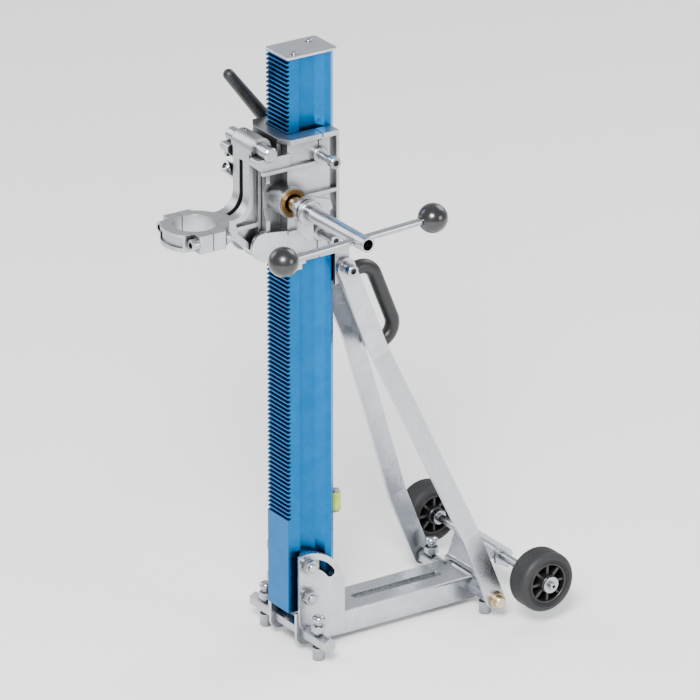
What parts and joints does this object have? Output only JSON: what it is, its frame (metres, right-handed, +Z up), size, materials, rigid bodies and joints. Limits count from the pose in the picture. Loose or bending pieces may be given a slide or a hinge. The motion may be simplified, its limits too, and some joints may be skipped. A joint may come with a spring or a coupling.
{
  "type": "core drill rig",
  "caption": "Toothed upright column on a tilting foot, with a crank-fed carriage and clamp collar, bent rear struts with a carry handle, and transport wheels.",
  "frame": {"origin": "middle of the overall footprint, at floor level", "axes": "+Z up along the column, -Y towards the drill side, +X towards the hand crank"},
  "size_m": [0.3982, 0.548, 0.8504],
  "materials": {
    "bare_casting": "as cast and machined",
    "black_grip": "fine matte",
    "black_plastic": "satin gloss",
    "black_screw": "black oxide",
    "blue_anodised": "satin anodised",
    "bright_steel": "ground",
    "bronze": "turned",
    "foot_plastic": "moulded",
    "level_green": "clear fluid vial",
    "level_grey": "moulded",
    "pad_plastic": "smooth",
    "tyre": "moulded",
    "wheel_plastic": "moulded",
    "yellow_zinc": "yellow passivated",
    "zinc_steel": "zinc plated"
  },
  "bodies": {
    "base": {"base_channel": "zinc_steel", "ears": "zinc_steel", "front_crossbar": "zinc_steel", "rear_crossbar": "zinc_steel", "axle_bracket": "zinc_steel", "axle": "bright_steel", "axle_collars": "zinc_steel", "axle_screws": "zinc_steel"},
    "column": {"column": "blue_anodised", "cap_plate": "zinc_steel", "cap_screws": "black_screw", "foot_plates": "zinc_steel", "foot_bolts": "zinc_steel", "foot_nuts": "zinc_steel", "level_vial": "level_green", "level_caps": "level_grey"},
    "carriage": {"carriage": "bare_casting", "guide_pads": "pad_plastic", "adjusters": "zinc_steel", "shaft_bushes": "bronze"},
    "crank": {"pinion_shaft": "bright_steel", "drive_plate": "bare_casting", "crank_hub": "bright_steel", "crank_tube": "zinc_steel", "crank_rod": "zinc_steel", "ball_knobs": "black_plastic"},
    "lock_lever": {"lock_lever": "black_grip", "lever_stud": "zinc_steel"},
    "holder": {"machine_holder": "bare_casting", "collar_cap": "bare_casting", "collar_screws": "zinc_steel", "collar_nuts": "zinc_steel", "hook_pin": "bright_steel", "holder_screws": "zinc_steel"},
    "strut_slider": {"strut_slider": "bare_casting", "tee_nut": "zinc_steel", "slider_screw": "zinc_steel", "strut_top_bolts": "zinc_steel"},
    "struts": {"strut_left": "zinc_steel", "strut_right": "zinc_steel", "strut_brace": "zinc_steel", "carry_handle": "black_grip", "handle_screws": "zinc_steel", "strut_foot_bolts": "yellow_zinc"},
    "wheel_right": {"tyre_right": "tyre", "rim_right": "wheel_plastic", "wheel_bush_right": "level_grey"},
    "wheel_left": {"tyre_left": "tyre", "rim_left": "wheel_plastic", "wheel_bush_left": "level_grey"},
    "level_front_right": {"level_screw_front_right": "zinc_steel", "level_foot_front_right": "foot_plastic"},
    "level_front_left": {"level_screw_front_left": "zinc_steel", "level_foot_front_left": "foot_plastic"},
    "level_rear_right": {"level_screw_rear_right": "zinc_steel", "level_foot_rear_right": "foot_plastic"},
    "level_rear_left": {"level_screw_rear_left": "zinc_steel", "level_foot_rear_left": "foot_plastic"}
  },
  "joints": [
    {"name": "column_tilt", "type": "hinge", "parent": "base", "child": "column", "pos_m": [-0.0329, -0.081, 0.083], "axis": [-1, 0, 0], "range_deg": [0, 45]},
    {"name": "strut_slide", "type": "slide", "parent": "column", "child": "strut_slider", "axis": [0, 0, 1], "range_m": [-0.001, 0.2225]},
    {"name": "strut_fold", "type": "hinge", "parent": "strut_slider", "child": "struts", "pos_m": [-0.0329, -0.016, 0.54], "axis": [-1, 0, 0], "range_deg": [-0.5, 5]},
    {"name": "carriage_feed", "type": "slide", "parent": "column", "child": "carriage", "axis": [0, 0, 1], "range_m": [-0.405, 0.102]},
    {"name": "crank_turn", "type": "hinge", "parent": "carriage", "child": "crank", "pos_m": [-0.0329, -0.1125, 0.659], "axis": [-1, 0, 0], "range_deg": [-1936, 489]},
    {"name": "lock_lever_turn", "type": "hinge", "parent": "carriage", "child": "lock_lever", "pos_m": [-0.0929, -0.064, 0.713], "axis": [1, 0, 0], "range_deg": [-45, 45]},
    {"name": "holder_swing", "type": "hinge", "parent": "carriage", "child": "holder", "pos_m": [-0.0329, -0.141, 0.729], "axis": [-1, 0, 0], "range_deg": [0, 25]},
    {"name": "wheel_right_spin", "type": "hinge", "parent": "base", "child": "wheel_right", "pos_m": [0.1031, 0.2315, 0.066], "axis": [1, 0, 0], "continuous": true},
    {"name": "wheel_left_spin", "type": "hinge", "parent": "base", "child": "wheel_left", "pos_m": [-0.1689, 0.2315, 0.066], "axis": [1, 0, 0], "continuous": true},
    {"name": "level_front_right_screw", "type": "slide", "parent": "base", "child": "level_front_right", "axis": [0, 0, 1], "range_m": [-0.004, 0]},
    {"name": "level_front_left_screw", "type": "slide", "parent": "base", "child": "level_front_left", "axis": [0, 0, 1], "range_m": [-0.004, 0]},
    {"name": "level_rear_right_screw", "type": "slide", "parent": "base", "child": "level_rear_right", "axis": [0, 0, 1], "range_m": [-0.004, 0]},
    {"name": "level_rear_left_screw", "type": "slide", "parent": "base", "child": "level_rear_left", "axis": [0, 0, 1], "range_m": [-0.004, 0]}
  ],
  "couplings": [
    {"joint": "crank_turn", "follows": "carriage_feed", "rad_per_m": 83.333},
    {"joint": "strut_slide", "follows": "column_tilt", "m_per_rad": 0.28176},
    {"joint": "strut_fold", "follows": "column_tilt", "ratio": 0.10042}
  ]
}
